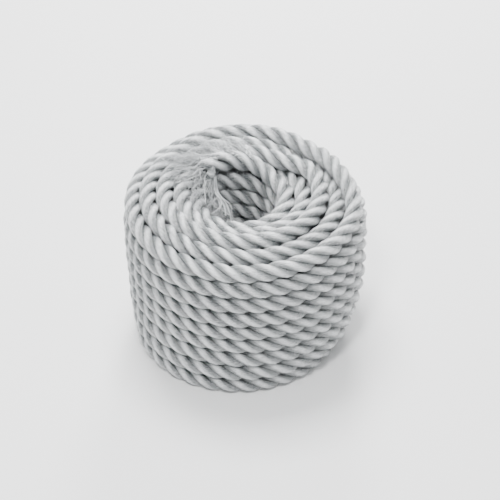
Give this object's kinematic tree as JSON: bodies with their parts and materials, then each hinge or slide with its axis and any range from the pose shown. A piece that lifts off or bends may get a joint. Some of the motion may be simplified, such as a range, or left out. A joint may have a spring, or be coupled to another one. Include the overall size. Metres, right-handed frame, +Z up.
{
  "type": "coil of frayed three-strand rope",
  "caption": "Length of glossy white twisted rope wound into a barrel-shaped coil with an open eye, its inner end frayed on the rim.",
  "frame": {"origin": "on the surface the coil stands on, under the middle of its outline", "axes": "+Z up along the axis of the coil, -Y towards the viewer, +X to the right; the eye is shifted a little to -X"},
  "size_m": [0.1581, 0.1576, 0.1186],
  "materials": {
    "laid_rope": "glossy silver-white synthetic yarns, laid in rounded strands, darker in the grooves",
    "frayed_rope": "the same yarns opened into a soft matt brush of fibres"
  },
  "bodies": {
    "root": {"rope_coil": "laid_rope", "rope_end": "frayed_rope"}
  },
  "joints": []
}
